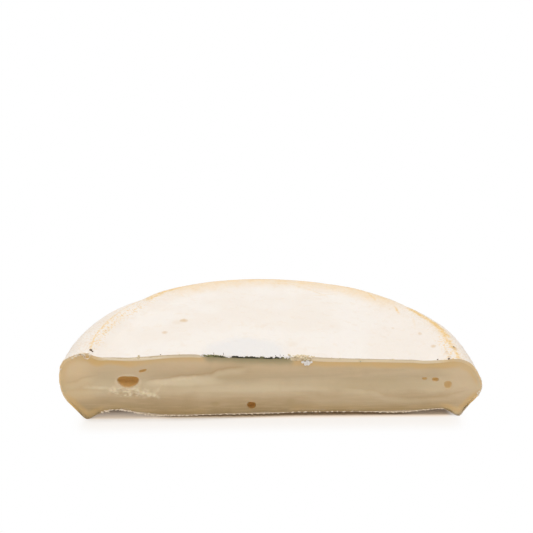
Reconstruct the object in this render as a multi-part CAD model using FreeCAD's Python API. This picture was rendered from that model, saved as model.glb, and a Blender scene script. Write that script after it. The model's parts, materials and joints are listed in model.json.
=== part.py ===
import FreeCAD, Part
import os
from itertools import accumulate
from math import cos, exp, pi, radians, sin
from FreeCAD import Vector

# Half of a soft washed-rind wheel of cheese, lying flat as it was cut.
#
# It is drawn in the wheel's own frame, in millimetres: the axis of the whole
# wheel is Z, the board is Z = 0, the knife went through the axis along X, and
# the half that is left reaches from the cut towards +Y. The finished solids are
# moved so that the origin is the middle of the half wheel's footprint.
#
# A wheel that has begun to ripen is not quite even: its left end (-X) stands
# taller and squarer than its right end (+X). So a size of the rim is given
# twice, as (left end, right end), and runs smoothly from one to the other.

# --- the whole wheel -------------------------------------------------------------
WHEEL_DIAMETER = 150.0
OUTLINE_WAVE = 0.4           # how far the round outline is out of true
OUTLINE_LOBES = 5            # soft lobes of that wave round the whole wheel

# --- the rim's skin: an inset is measured inwards from the widest outline ----------
LIP_HEIGHT = (26.2, 23.2)    # the raised ring round the top flat
LIP_INSET = (10.2, 10.6)
LIP_FALL = (1.7, 1.2)        # from the lip down to the flat inside it
LIP_SLOPE = (5.2, 8.0)       # width of the slope between the two
CROWN_INSET = (6.6, 7.4)
CROWN_DROP = (0.8, 0.7)      # a drop is measured down from the lip
SHOULDER_INSET = (3.0, 3.9)
SHOULDER_DROP = (2.8, 2.9)
BROW_INSET = (0.9, 1.9)
BROW_DROP = (5.8, 6.0)
BULGE_HEIGHT = (13.4, 11.0)  # where the wheel is widest
FLANK_INSET = (1.4, 1.5)
FLANK_HEIGHT = (8.0, 6.9)
HEEL_INSET = (4.2, 3.8)
HEEL_HEIGHT = (4.4, 4.0)
FOOT_INSET = (9.6, 7.6)      # the ring that stands on the board
FOOT_SETTLING = 0.15         # what the foot would sink, and so is pressed flat

# --- the underside ---------------------------------------------------------------
ARCH_INSET = (20.5, 14.6)    # crest of the hollow ring between foot and belly
ARCH_RISE = (3.5, 2.3)
ARCH_START = 0.7             # share of the rise reached halfway from foot to crest
ARCH_END = 0.5               # share of the rise left halfway from crest to belly
BELLY_INSET = (44.0, 36.0)   # from here in, the soft middle has sagged
BELLY_GAP = (0.3, 0.8)       # what the sagging middle keeps clear of the board

# --- soft swells: (two places, as shares of the wheel's radius, lift, radius) -------
FLAT_SWELLS = [              # along X, along Y, upwards
    (0.00, 0.27, 0.7, 40.0),
    (-0.37, 0.05, 0.7, 12.0),
    (0.15, 0.03, 0.4, 7.0),
    (0.45, 0.48, -0.5, 14.0),
]
CUT_SWELLS = [               # along X, along Z, into the cheese
    (-0.40, 0.11, -0.6, 12.0),
    (-0.11, 0.25, 0.4, 12.0),
    (0.32, 0.12, -0.5, 16.0),
    (0.80, 0.17, 0.3, 9.0),
]

# --- eyes that the knife opened: (X as a share of the wheel's radius, Z as a share ---
# --- of the mean lip height, half width, half height, depth) -------------------------
EYES = [
    (-0.680, 0.587, 3.5, 2.5, 3.4),
    (-0.607, 0.745, 1.5, 0.5, 1.4),
    (-0.091, 0.194, 1.4, 1.4, 1.6),
    (0.728, 0.595, 0.8, 0.8, 0.9),
    (0.780, 0.579, 1.1, 0.8, 1.0),
    (0.841, 0.494, 1.4, 1.6, 0.9),
]

# --- the casein mark: a round plaque pressed on the top and cut through --------------
MARK_X = -8.6
MARK_DIAMETER = 31.0
MARK_THICKNESS = 0.9
MARK_STEP = 0.3              # how far it stands above the rind

# --- how finely the skin is drawn ------------------------------------------------
RIM_SECTIONS = 27
FLAT_POINTS = 9
BELLY_POINTS = 4
CUT_COLUMNS = 25
CUT_ROWS = 7
SKIN_DEGREE = 3
OVERCUT_ANGLE = 10.0         # degrees of rim drawn beyond the cut and trimmed off
HUB_SETBACK = 20.0           # all sections run to a hub this far in front of the cut
HUB_RADIUS = 12.0
CLEARANCE = 10.0             # how far the cutting solids reach past the wheel

WHEEL_RADIUS = WHEEL_DIAMETER / 2
MEAN_LIP_HEIGHT = sum(LIP_HEIGHT) / 2
REACH = WHEEL_RADIUS + CLEARANCE
ABOVE_WHEEL = max(LIP_HEIGHT) + CLEARANCE
HUB = Vector(0, -HUB_SETBACK, 0)


def between(ends, angle):
    """A rim size at an angle round the wheel, from its left and right values."""
    left, right = ends
    return right + (left - right) * (1 - cos(angle)) / 2


def spread(first, last, count):
    """Evenly spaced numbers from first to last."""
    return [first + (last - first) * step / (count - 1) for step in range(count)]


def swell(swells, first, second):
    """How far a face's soft swells move it at one place."""
    total = 0.0
    for first_share, second_share, lift, radius in swells:
        first_off = first - first_share * WHEEL_RADIUS
        second_off = second - second_share * WHEEL_RADIUS
        total += lift * exp(-(first_off ** 2 + second_off ** 2) / radius ** 2)
    return total


def flat_height(x, y):
    """The top flat: a plane from the left lip's slope to the right one's, with swells."""
    left, right = (lip - fall for lip, fall in zip(LIP_HEIGHT, LIP_FALL))
    plane = (left + right) / 2 + (right - left) / 2 * x / WHEEL_RADIUS
    return plane + swell(FLAT_SWELLS, x, y)


def rim_profile(angle):
    """(inset, height) down the rim's skin, from the lip round to the belly."""
    lip = between(LIP_HEIGHT, angle)
    foot_inset = between(FOOT_INSET, angle)
    arch_inset = between(ARCH_INSET, angle)
    arch_rise = between(ARCH_RISE, angle)
    belly_inset = between(BELLY_INSET, angle)
    return [
        (between(LIP_INSET, angle), lip),
        (between(CROWN_INSET, angle), lip - between(CROWN_DROP, angle)),
        (between(SHOULDER_INSET, angle), lip - between(SHOULDER_DROP, angle)),
        (between(BROW_INSET, angle), lip - between(BROW_DROP, angle)),
        (0.0, between(BULGE_HEIGHT, angle)),
        (between(FLANK_INSET, angle), between(FLANK_HEIGHT, angle)),
        (between(HEEL_INSET, angle), between(HEEL_HEIGHT, angle)),
        (foot_inset, -FOOT_SETTLING),
        ((foot_inset + arch_inset) / 2, arch_rise * ARCH_START),
        (arch_inset, arch_rise),
        ((arch_inset + belly_inset) / 2, arch_rise * ARCH_END),
    ]


def section_points(angle):
    """One upright section: from the hub over the top, round the rim and back below."""
    radius = WHEEL_RADIUS - OUTLINE_WAVE * sin(OUTLINE_LOBES * angle)
    outward = Vector(cos(angle), sin(angle), 0)
    rim = outward * radius
    run = (rim - HUB).normalize()
    slant = 1 / run.dot(outward)

    def on_section(inset, height):
        return rim - run * (inset * slant) + Vector(0, 0, height)

    hub_inset = (rim.distanceToPoint(HUB) - HUB_RADIUS) / slant
    slope_foot = between(LIP_INSET, angle) + between(LIP_SLOPE, angle)
    points = []
    for inset in spread(hub_inset, slope_foot, FLAT_POINTS):
        place = on_section(inset, 0)
        points.append(place + Vector(0, 0, flat_height(place.x, place.y)))
    points += [on_section(inset, height) for inset, height in rim_profile(angle)]
    for inset in spread(between(BELLY_INSET, angle), hub_inset, BELLY_POINTS):
        points.append(on_section(inset, between(BELLY_GAP, angle)))
    return points


def chord_parameters(points):
    """Curve parameters that grow with the distance from point to point."""
    steps = [start.distanceToPoint(end) for start, end in zip(points, points[1:])]
    travelled = list(accumulate(steps, initial=0.0))
    return [distance / travelled[-1] for distance in travelled]


def wheel_block():
    """Rather more than half of the wheel, lofted round the rim, on the board."""
    overcut = radians(OVERCUT_ANGLE)
    parameters = chord_parameters(section_points(pi / 2))
    sections = []
    for angle in spread(-overcut, pi + overcut, RIM_SECTIONS):
        points = section_points(angle)
        skin = Part.BSplineCurve()
        skin.interpolate(Points=points, Parameters=parameters)
        hub_edge = Part.makeLine(points[-1], points[0])
        sections.append(Part.Wire([skin.toShape(), hub_edge]))
    solid, ruled, closed = True, False, False
    block = Part.makeLoft(sections, solid, ruled, closed, SKIN_DEGREE)
    corner = Vector(-REACH, -REACH, -CLEARANCE)
    below_board = Part.makeBox(2 * REACH, 2 * REACH, CLEARANCE, corner)
    return block.cut(below_board)


def casein_mark(block):
    """The plaque: a slice of the wheel's own top, lifted by its step."""
    column = Part.makeCylinder(MARK_DIAMETER / 2, ABOVE_WHEEL, Vector(MARK_X, 0, 0))
    raised = block.translated(Vector(0, 0, MARK_STEP))
    bed = block.translated(Vector(0, 0, MARK_STEP - MARK_THICKNESS))
    return raised.common(column).cut(bed)


def knife_waste():
    """All that lies in front of the knife's softly wavy cut."""
    rows = []
    for x in spread(-REACH, REACH, CUT_COLUMNS):
        heights = spread(-CLEARANCE, ABOVE_WHEEL, CUT_ROWS)
        rows.append([Vector(x, swell(CUT_SWELLS, x, z), z) for z in heights])
    cut = Part.BSplineSurface()
    cut.interpolate(rows)
    return cut.toShape().extrude(Vector(0, -REACH, 0))


def eye(x_share, z_share, half_width, half_height, depth):
    """An egg-shaped hole in the paste, centred on the cut."""
    x = x_share * WHEEL_RADIUS
    z = z_share * MEAN_LIP_HEIGHT
    egg = FreeCAD.Matrix()
    egg.scale(half_width, depth, half_height)
    egg.move(Vector(x, swell(CUT_SWELLS, x, z), z))
    unit_radius = 1.0
    return Part.makeSphere(unit_radius).transformGeometry(egg)


def half_wheel():
    """The finished solids by name, in the wheel's frame."""
    block = wheel_block()
    mark = casein_mark(block)
    waste = knife_waste()
    cheese = block.cut(mark).cut(waste)
    for sizes in EYES:
        cheese = cheese.cut(eye(*sizes))
    return {"cheese": cheese, "casein_mark": mark.cut(waste)}


def main():
    os.makedirs("parts", exist_ok=True)
    to_footprint_middle = Vector(0, -WHEEL_RADIUS / 2, 0)
    for name, shape in half_wheel().items():
        solid = shape.Solids[0].translated(to_footprint_middle)
        solid.exportStep("parts/" + name + ".step")


if __name__ == "__main__":
    main()
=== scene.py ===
import json
import math
import random
from contextlib import contextmanager

import bpy
from mathutils import Matrix, Vector, noise
from mathutils.bvhtree import BVHTree

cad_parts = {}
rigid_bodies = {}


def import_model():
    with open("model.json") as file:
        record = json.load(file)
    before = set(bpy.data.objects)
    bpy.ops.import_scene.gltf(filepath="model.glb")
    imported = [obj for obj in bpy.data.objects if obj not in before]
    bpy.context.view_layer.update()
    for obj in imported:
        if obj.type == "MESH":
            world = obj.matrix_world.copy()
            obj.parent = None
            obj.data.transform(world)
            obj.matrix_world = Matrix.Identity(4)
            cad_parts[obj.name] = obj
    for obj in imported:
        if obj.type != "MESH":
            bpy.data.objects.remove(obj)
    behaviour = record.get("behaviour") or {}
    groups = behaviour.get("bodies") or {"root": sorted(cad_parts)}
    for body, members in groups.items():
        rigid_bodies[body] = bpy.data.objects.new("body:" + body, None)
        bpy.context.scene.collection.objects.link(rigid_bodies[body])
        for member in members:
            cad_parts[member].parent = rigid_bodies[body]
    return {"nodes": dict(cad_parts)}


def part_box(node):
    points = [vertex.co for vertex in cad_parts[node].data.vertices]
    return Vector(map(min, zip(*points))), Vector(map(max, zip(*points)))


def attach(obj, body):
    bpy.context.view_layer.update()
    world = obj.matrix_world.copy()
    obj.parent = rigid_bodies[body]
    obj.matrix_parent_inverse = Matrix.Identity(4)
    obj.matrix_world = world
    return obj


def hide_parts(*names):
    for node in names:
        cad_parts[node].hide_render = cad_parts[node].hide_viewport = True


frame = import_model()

bl_info = {
    "name": "Soft cheese half wheel",
    "version": (1, 0, 0),
    "blender": (4, 5, 0),
    "location": "3D View > Sidebar > Half wheel",
    "description": "Dresses the half of a soft washed-rind cheese wheel and sets its stage",
    "category": "Object",
}

MM = 0.001
SHARP_EDGE = math.radians(40)       # faces that meet at more stay sharp
SAME_POINT = 0.001 * MM

# ---- places from the frame
# The axis of the whole wheel stands in the cut, half a radius in front of the origin.
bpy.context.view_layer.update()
CHEESE_LOW, CHEESE_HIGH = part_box("cheese")
MARK_LOW, MARK_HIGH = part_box("casein_mark")
WHEEL_RADIUS = (CHEESE_HIGH.x - CHEESE_LOW.x) / 2
CUT_Y = -WHEEL_RADIUS / 2
MARK_X = (MARK_LOW.x + MARK_HIGH.x) / 2
MARK_RADIUS = (MARK_HIGH.x - MARK_LOW.x) / 2


def sizes():
    """The sizes that a user can change."""
    return bpy.context.scene.half_wheel_sizes


def colours():
    """The colours that a user can change."""
    return bpy.context.scene.half_wheel_colours


# ---- working on one piece
def only(piece):
    """Selects one piece alone, in object mode."""
    if bpy.context.object and bpy.context.object.mode != "OBJECT":
        bpy.ops.object.mode_set(mode="OBJECT")
    bpy.ops.object.select_all(action="DESELECT")
    piece.select_set(True)
    bpy.context.view_layer.objects.active = piece


@contextmanager
def editing(piece, mode="VERT", everything=True):
    """Edit mode on one piece, with all of it or nothing selected."""
    only(piece)
    bpy.ops.object.mode_set(mode="EDIT")
    bpy.ops.mesh.select_mode(type=mode)
    bpy.ops.mesh.select_all(action="SELECT" if everything else "DESELECT")
    yield
    bpy.ops.object.mode_set(mode="OBJECT")


def settled(piece, name, stretch):
    """Names a new primitive, stretches it and puts its place into its mesh."""
    piece.name = piece.data.name = name
    piece.scale = stretch
    only(piece)
    bpy.ops.object.transform_apply(location=True, rotation=True, scale=True)
    return piece


def finish_with(piece, kind, **settings):
    """Adds one modifier and applies it."""
    only(piece)
    modifier = piece.modifiers.new(kind.lower(), kind)
    for name, value in settings.items():
        setattr(modifier, name, value)
    bpy.ops.object.modifier_apply(modifier=modifier.name)


def copy_of(piece, name):
    """A loose copy of a piece or CAD node, with its own mesh."""
    only(piece)
    bpy.ops.object.duplicate()
    copy = bpy.context.object
    bpy.ops.object.parent_clear(type="CLEAR_KEEP_TRANSFORM")
    for key in list(copy.keys()):
        del copy[key]
    copy.name = name
    return copy


def joined(pieces, name):
    """Several pieces as one."""
    only(pieces[0])
    for piece in pieces:
        piece.select_set(True)
    bpy.ops.object.join()
    whole = bpy.context.object
    whole.name = whole.data.name = name
    return whole


def cut_off(piece, y, behind=False, fill=True):
    """Takes away what lies in front of, or behind, an upright plane across the cheese."""
    with editing(piece):
        bpy.ops.mesh.bisect(
            plane_co=(0, y, 0), plane_no=(0, 1, 0), clear_inner=not behind, clear_outer=behind,
            use_fill=fill,
        )


def carve(piece, tool, operation):
    """Cuts a piece by a tool, or down to it, and throws the tool away."""
    finish_with(piece, "BOOLEAN", operation=operation, object=tool, solver="EXACT")
    bpy.data.objects.remove(tool, do_unlink=True)


def smooth_shaded(piece):
    """Shades a piece smooth, with its sharp edges kept."""
    only(piece)
    bpy.ops.object.shade_smooth_by_angle(angle=SHARP_EDGE)


def skin_of(piece):
    """A piece's surface, to measure from."""
    return BVHTree.FromObject(piece, bpy.context.evaluated_depsgraph_get())


def write_values(piece, name, values):
    """Gives each point of a piece one number, which its material reads."""
    layer = piece.data.attributes.new(name, "FLOAT", "POINT")
    layer.data.foreach_set("value", values)


# ---- soft shapes used in code
def bell(offset, width):
    """1 on the line, fading to 0 about two widths off it."""
    return math.exp(-((offset / width) ** 2))


def rise(value, low, high):
    """0 below low, 1 above high, and smooth between them."""
    share = min(max((value - low) / (high - low), 0), 1)
    return share * share * (3 - 2 * share)


def round_the_wheel(place):
    """(inset from the outline, azimuth in degrees from the right end) of a place."""
    x, y = place.x, place.y - CUT_Y
    return WHEEL_RADIUS - math.hypot(x, y), math.degrees(math.atan2(y, x))


def grain(place, size, stretch=(1, 1, 1), seed=0):
    """Smooth noise from -1 to 1 with lumps of one size, which may be drawn out."""
    at = Vector(place[axis] / (size * stretch[axis]) + seed for axis in range(3))
    return noise.noise(at)


# ---- the form under the looks
CUT_WAVE = 1 * MM           # the CAD cut is wavy; this far behind it the form is whole
PAST_CUT = 2.5 * MM         # how far the form runs on in front of the cut
EYE_DEPTH = 6 * MM          # deeper than any eye, and less than the mark
# Where the rim isn't quite round: middle and half width in degrees, and how far it
# stands out in millimetres.
UNEVEN_RIM = ((22, 13, 1.2), (136, 7, -1.7))
RIM_WIDTH = (5 * MM, 26 * MM)       # insets over which that fades
# Where the top's back edge is lower: azimuths over which that comes and goes, heights
# over which it comes, and how much lower.
LOW_FROM, LOW_TO = (60, 72), (118, 132)
LOW_HEIGHTS = (15 * MM, 22 * MM)
BACK_DROP = 0.35 * MM


def run_past_cut(node):
    """A CAD node without its wavy cut face and eyes, run straight on past the cut."""
    piece = copy_of(frame["nodes"][node], node + "_form")
    with editing(piece):
        bpy.ops.mesh.remove_doubles(threshold=SAME_POINT)
    cut_off(piece, CUT_Y + CUT_WAVE, fill=False)
    with editing(piece):
        bpy.ops.mesh.separate(type="LOOSE")
    kept = None
    for part in list(bpy.context.selected_objects):
        if part.dimensions.y < EYE_DEPTH:
            bpy.data.objects.remove(part, do_unlink=True)
        else:
            kept = part
    with editing(kept, "EDGE", everything=False):
        bpy.ops.mesh.select_non_manifold(extend=False)
        bpy.ops.mesh.extrude_region_move(
            TRANSFORM_OT_translate={"value": (0, -CUT_WAVE - PAST_CUT, 0)}
        )
        bpy.ops.mesh.fill_holes(sides=0)
    return kept


def even_form():
    """Cheese and mark as one closed form of small even faces, run on past the cut."""
    form = joined([run_past_cut("cheese"), run_past_cut("casein_mark")], "form")
    finish_with(form, "REMESH", mode="VOXEL", voxel_size=sizes().rind_face)
    for point in form.data.vertices:
        inset, azimuth = round_the_wheel(point.co)
        rim = 1 - rise(inset, *RIM_WIDTH)
        out = sum(amount * bell(azimuth - middle, half) for middle, half, amount in UNEVEN_RIM)
        aside = Vector((math.cos(math.radians(azimuth)), math.sin(math.radians(azimuth)), 0))
        point.co += aside * out * rim * MM
        back = rise(azimuth, *LOW_FROM) * (1 - rise(azimuth, *LOW_TO))
        point.co.z -= BACK_DROP * back * rim * rise(point.co.z, *LOW_HEIGHTS)
    return form


# ---- the rind
LIP_LINES = (10.1 * MM, 12.8 * MM)      # insets of the two creases along the raised lip
WRINKLES_AZIMUTH = (60, 86)             # where the rind bunched up behind the lip
WRINKLES_INSET = (11 * MM, 21 * MM)
UPPER_RIND = (15 * MM, 19 * MM)         # heights over which the rind at the cut gets thicker


def rind_relief(place, normal):
    """How far the bloom stands out of, or sinks below, the smooth form."""
    inset, azimuth = round_the_wheel(place)
    upper = rise(normal.z, 0.35, 0.8)
    side = 1 - rise(abs(normal.z), 0.45, 0.85)
    lift = 0.09 * grain(place, 6 * MM) + 0.06 * grain(place, 2.2 * MM, seed=3)
    lift += 0.045 * grain(place, 1.2 * MM, seed=7)
    along = Vector((azimuth / 7, 0, 0))
    for number, line in enumerate(LIP_LINES):
        wander = 0.5 * MM * noise.noise(along * 2.2 + Vector((0, number * 9, 0)))
        strength = 0.5 + 0.5 * noise.noise(along * 1.4 + Vector((0, 5, number * 7)))
        lift -= upper * 0.26 * strength * bell(inset - line - wander, 0.45 * MM)
    collar = bell(inset - 11.5 * MM, 2.2 * MM) * upper
    lift += collar * 0.10 * grain(place, 1.1 * MM, seed=11)
    folds = grain(place, 3 * MM, (4, 4, 0.8), seed=17)
    lift += side * (0.20 * folds + 0.14 * grain(place, 1.6 * MM, seed=19))
    bunched = rise(azimuth, WRINKLES_AZIMUTH[0], WRINKLES_AZIMUTH[0] + 6)
    bunched *= 1 - rise(azimuth, WRINKLES_AZIMUTH[1] - 8, WRINKLES_AZIMUTH[1])
    bunched *= rise(inset, WRINKLES_INSET[0], WRINKLES_INSET[0] + 2 * MM)
    bunched *= 1 - rise(inset, WRINKLES_INSET[1] - 6 * MM, WRINKLES_INSET[1])
    ripple = math.sin(inset / (0.55 * MM) + 3 * noise.noise(along * 1.7) + azimuth / 9)
    lift += upper * bunched * 0.16 * ripple
    return lift * MM * sizes().rind_relief


def thickness_at(x, upper):
    """The rind's thickness at the cut: thinner low down, and thickest right of the mark."""
    along = 0.8 + 0.3 * bell(x - 18 * MM, 18 * MM) + 0.2 * bell(x + 44 * MM, 9 * MM)
    return sizes().rind_thickness * (0.55 + 0.45 * upper) * along


def make_paste_block(form):
    """The space inside the rind near the cut, which the paste fills."""
    block = copy_of(form, "paste_block")
    inwards = [
        point.normal * thickness_at(point.co.x, rise(point.normal.z, 0.3, 0.9))
        for point in block.data.vertices
    ]
    for point, move in zip(block.data.vertices, inwards):
        point.co -= move
    cut_off(block, CUT_Y + sizes().paste_depth, behind=True)
    return block


# How the knife moved the edges of the cut: middle x, half width and lift in mm.
TOP_EDGE = (
    (-61.5, 2.5, -0.7), (-57.5, 4.5, 0.45), (-51, 5, -0.35), (-34, 12, 0.6),
    (-14, 10, 0.2), (49, 9, -0.2), (61.5, 5.5, -0.6),
)
BOTTOM_EDGE = ((-47, 9, -1.5), (-16, 16, 0.4), (12, 14, 0.65), (30, 12, 0.55))
TOP_HEIGHTS, BOTTOM_HEIGHTS = (14, 21), (1, 8)      # over which they come and go, in mm
DRAG_DEPTH = (0.5 * MM, 5 * MM)                     # how far behind the cut they fade
# Where both ends reach further: side, how far, middle height and half height in mm.
END_SWELLS = ((1, 0.4, 12, 7), (-1, 0.7, 23.2, 2.6))
END_REACH = (66, 74)
# Tips of the two feet at the cut, and which way is inwards; how far they are drawn
# forward and over what half width; their length and the rise of their underside. In mm.
FEET = ((-65.4, 1), (67.2, -1))
FOOT_FORWARD, FOOT_HALF = 1.2, 2.6
FOOT_LENGTH, FOOT_SLOPE = 6, 0.42


def drag_edges(piece):
    """Moves the edges of the cut as the knife did, and draws its feet out to a point."""
    for point in piece.data.vertices:
        near_cut = 1 - rise(point.co.y, CUT_Y + DRAG_DEPTH[0], CUT_Y + DRAG_DEPTH[1])
        if near_cut == 0:
            continue
        x, height = point.co.x / MM, point.co.z / MM
        top = sum(lift * bell(x - middle, half) for middle, half, lift in TOP_EDGE)
        low = sum(lift * bell(x - middle, half) for middle, half, lift in BOTTOM_EDGE)
        lift = top * rise(height, *TOP_HEIGHTS) + low * (1 - rise(height, *BOTTOM_HEIGHTS))
        point.co.z = max(point.co.z + lift * near_cut * MM, CHEESE_LOW.z)
        for side, further, middle, half in END_SWELLS:
            swell = near_cut * rise(side * x, *END_REACH) * bell(height - middle, half)
            point.co.x += side * further * MM * swell
        for foot, inwards in FEET:
            aside = (x - foot) * inwards
            reach = bell(aside, FOOT_HALF) * (1 - rise(height, 0.5, 3.5))
            point.co.y -= FOOT_FORWARD * MM * near_cut * reach
            if 0 < aside < FOOT_LENGTH:
                least = FOOT_SLOPE * aside * (1 - rise(aside, FOOT_LENGTH / 2, FOOT_LENGTH))
                point.co.z = max(point.co.z, least * near_cut * MM)


def mark_layers(rind, block):
    """Gives the ring at the cut 0 on its outer edge and 1 on its inner one."""
    inner = skin_of(block)
    depths = []
    for point in rind.data.vertices:
        distance = inner.find_nearest(point.co)[3]
        thickness = thickness_at(point.co.x, rise(point.co.z, *UPPER_RIND))
        depths.append(1 - min(distance / thickness, 1))
    write_values(rind, "rind_depth", depths)


def rind_skin():
    """The finished rind's surface."""
    return skin_of(bpy.data.objects["rind"])


class HALFWHEEL_OT_rind(bpy.types.Operator):
    """Makes the rind: the whole outer skin, with its own thickness at the cut"""

    bl_idname = "half_wheel.rind"
    bl_label = "Rind"

    def execute(self, context):
        form = even_form()
        block = make_paste_block(form)
        rind = copy_of(form, "rind")
        points = rind.data.vertices
        moves = [point.normal * rind_relief(point.co, point.normal) for point in points]
        for point, move in zip(points, moves):
            point.co += move
            point.co.z = max(point.co.z, CHEESE_LOW.z)
        cut_off(rind, CUT_Y)
        carve(rind, copy_of(block, "pocket"), "DIFFERENCE")
        mark_layers(rind, block)
        drag_edges(rind)
        smooth_shaded(rind)
        dress(rind, rind_material(), "rind", "cheese")
        bpy.data.objects.remove(form, do_unlink=True)
        return {"FINISHED"}


# ---- the paste
# Creases where the knife dragged, as (x, z) points, how deep each is, how far above it
# the paste already falls back and how far below it comes out again. In millimetres.
# Each crease is also painted: painted shade on it and above it, and a painted highlight on the
# ledge below it.
KNIFE_CREASES = (
    (
        ((-46.5, 14.6), (-40, 15.3), (-30, 16.5), (-26, 16.7), (-22, 17.2), (-18, 18.7),
         (-14, 19.4), (-7, 20)),
        0.55, 2.6, 1,
    ),
    (((-75, 13.6), (-70, 14.4), (-66, 16.2), (-60, 17.6)), 0.35, 2, 1),
    (((-75, 11), (-65, 11.5), (-55, 10.5)), 0.22, 2, 0.8),
    (((24, 11.6), (35, 10.3), (43, 7.6), (50, 6.7), (60, 7.3), (72, 9.9)), 0.30, 3, 1.2),
    (((28, 17), (40, 18), (50, 19), (62, 19.2), (68, 17.6)), 0.14, 1.5, 0.8),
    (((-30, 9.6), (-8, 9.8), (10, 9.6), (21, 7.6)), 0.16, 2.5, 1.2),
)
# Ridges that the knife raised, pale on top, partly torn paste and partly a painted highlight: their
# line, height and half width.
PALE_RIDGES = (
    (
        ((-59, 9.3), (-57.5, 10.8), (-55, 11.8), (-53, 12.2), (-50, 12), (-48, 11.5),
         (-46.5, 10.2), (-43, 9.2), (-39, 8.4)),
        0.55, 0.95,
    ),
    (
        ((-47, 7.9), (-44, 8.7), (-41, 10.4), (-38.5, 13.1), (-35, 14.7), (-30, 15.3), (-25, 15.9)),
        0.2, 0.9,
    ),
    (((-68, 12.6), (-60, 12.2), (-56, 11.2)), 0.16, 0.6),
)
TORN_MIDDLE = (-50, 10.5)       # the crumbly patch under the large eye
TORN_HALF = (8.4, 2.3)
# Eyes: middle x and z, half width, half height, depth, in millimetres, the turn in
# degrees, and how amber they are inside.
EYES = (
    (-50.7, 14.35, 3.6, 2.4, 2.8, 0, 1),
    (-45.3, 18.7, 1.5, 0.55, 0.45, 14, 0.95),
    (-7, 4.2, 1.55, 1.5, 2.4, -4, 1),
    (54.6, 14.8, 0.9, 0.55, 0.35, 0, 0.8),
    (58.5, 14.4, 1.2, 0.85, 0.6, -5, 0.95),
    (63.1, 12.2, 1.5, 1.6, 0.45, 0, 0.75),
)
EYE_SQUARENESS = 2.7            # 2 is an ellipse, more has blunt corners
LARGE_EYE = 3                   # half width from which an eye has a painted highlight on its rim
SMALL_EYE = 2                   # half width below which an eye is blunt all round
PASTE_MARGIN = 4 * MM           # how much larger the sheet is that the paste is cut from
RIND_REACH = 6 * MM             # how far from the rind the paste still knows of it


def line_height(points, x):
    """Height of a line at x, or None past its ends."""
    for (x0, z0), (x1, z1) in zip(points, points[1:]):
        if x0 <= x <= x1:
            return z0 + (z1 - z0) * rise(x, x0, x1)
    return None


def ends_of(points, x, soft=5):
    """0 at both ends of a line and 1 along its middle."""
    return rise(x, points[0][0], points[0][0] + soft) * rise(points[-1][0] - x, 0, soft)


def knife_relief(x, z):
    """(how far the paste stands out of the cut in millimetres, painted shade, and paleness that is
    partly torn paste and partly painted highlight).
    """
    place = Vector((x, 0, z))
    out = 0.10 * noise.noise(place / 11) + 0.05 * noise.noise(place / 4.5)
    out += 0.04 * noise.noise(Vector((x / 16, 3, z / 0.9)))
    dark = 0
    pale = 0
    for points, depth, above, below in KNIFE_CREASES:
        line = line_height(points, x)
        if line is None:
            continue
        off = z - line - 0.25 * noise.noise(Vector((x / 2.2, 9, 0)))
        ends = ends_of(points, x)
        out -= ends * depth * math.exp(-abs(off) / (above if off > 0 else below))
        # Painted shade along the crease, and above it where the paste falls back.
        dark = max(dark, ends * bell(off, 0.4) * depth * depth * 2.6)
        if off > 0:
            dark = max(dark, ends * math.exp(-off / 1.3) * depth * depth * 1.2)
        # Painted highlight on the ledge below the crease.
        pale = max(pale, ends * bell(off + 1.5, 1.2) * depth * 0.5)
    for points, height, half in PALE_RIDGES:
        line = line_height(points, x)
        if line is None:
            continue
        off = z - line - 0.5 * noise.noise(Vector((x / 0.9, 4, 0)))
        broken = rise(noise.noise(Vector((x / 1.2, 7, z / 1.2))), -0.35, 0.3)
        ends = ends_of(points, x, 2.5) * (0.35 + 0.65 * broken)
        out += ends * height * bell(off, half * 0.8)
        # Pale on top of the ridge: partly torn paste, partly painted highlight.
        pale = max(pale, ends * bell(off, half) * min(height * 1.9, 1))
    torn_x = (x - TORN_MIDDLE[0]) / TORN_HALF[0]
    torn_z = (z - TORN_MIDDLE[1]) / TORN_HALF[1]
    torn = 1 - rise(math.hypot(torn_x, torn_z), 0.55, 1.15)
    if torn > 0:
        flat = Vector((x / 1.6, 2, z))
        crumbs = noise.noise(flat) + 0.7 * noise.noise(flat / 0.55)
        out += torn * 0.30 * crumbs
        # Crumb tops pale, partly torn paste and partly painted highlight, with painted shade in the
        # hollows between them.
        pale = max(pale, torn * rise(crumbs, -0.1, 0.5) * 0.9)
        dark = max(dark, torn * rise(-crumbs, 0.3, 0.7) * 0.5)
    for eye_x, eye_z, half_width, half_height, *_ in EYES:
        reach = math.hypot((x - eye_x) / (half_width + 0.15), (z - eye_z) / (half_height + 0.15))
        beyond = rise(reach, 0.85, 1.15)
        out, dark, pale = out * beyond, dark * beyond, pale * beyond
        # The large eye's rim gets a painted highlight.
        if half_width > LARGE_EYE:
            pale = max(pale, 0.4 * bell(reach - 1.14, 0.12))
    return out, dark, pale


def eggs():
    """The eyes' hollows as one tool: uneven eggs across the cut, blunt above."""
    hollows = []
    for x, z, half_width, half_height, depth, turn, _ in EYES:
        middle = Vector((x * MM, CUT_Y, z * MM))
        turned = Matrix.Rotation(math.radians(-turn), 3, "Y")
        bpy.ops.mesh.primitive_ico_sphere_add(subdivisions=5, radius=1, location=(0, 0, 0))
        egg = bpy.context.object
        for point in egg.data.vertices:
            wide, deep, high = point.co
            reach = math.hypot(wide, high)
            if reach > 0:
                blunt = EYE_SQUARENESS if high > 0 or half_width < SMALL_EYE else 2
                corners = abs(wide / reach) ** blunt + abs(high / reach) ** blunt
                square = corners ** (-1 / blunt)
                wide *= square * (1 + min(0.07 * half_width, 0.24) * high)
                high *= square
            off = Vector((wide * half_width, deep * depth, high * half_height)) * MM
            off *= 1 + 0.10 * grain(off, half_width * 0.8 * MM, seed=x)
            point.co = middle + turned @ off
        hollows.append(egg)
    return joined(hollows, "eggs")


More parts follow.
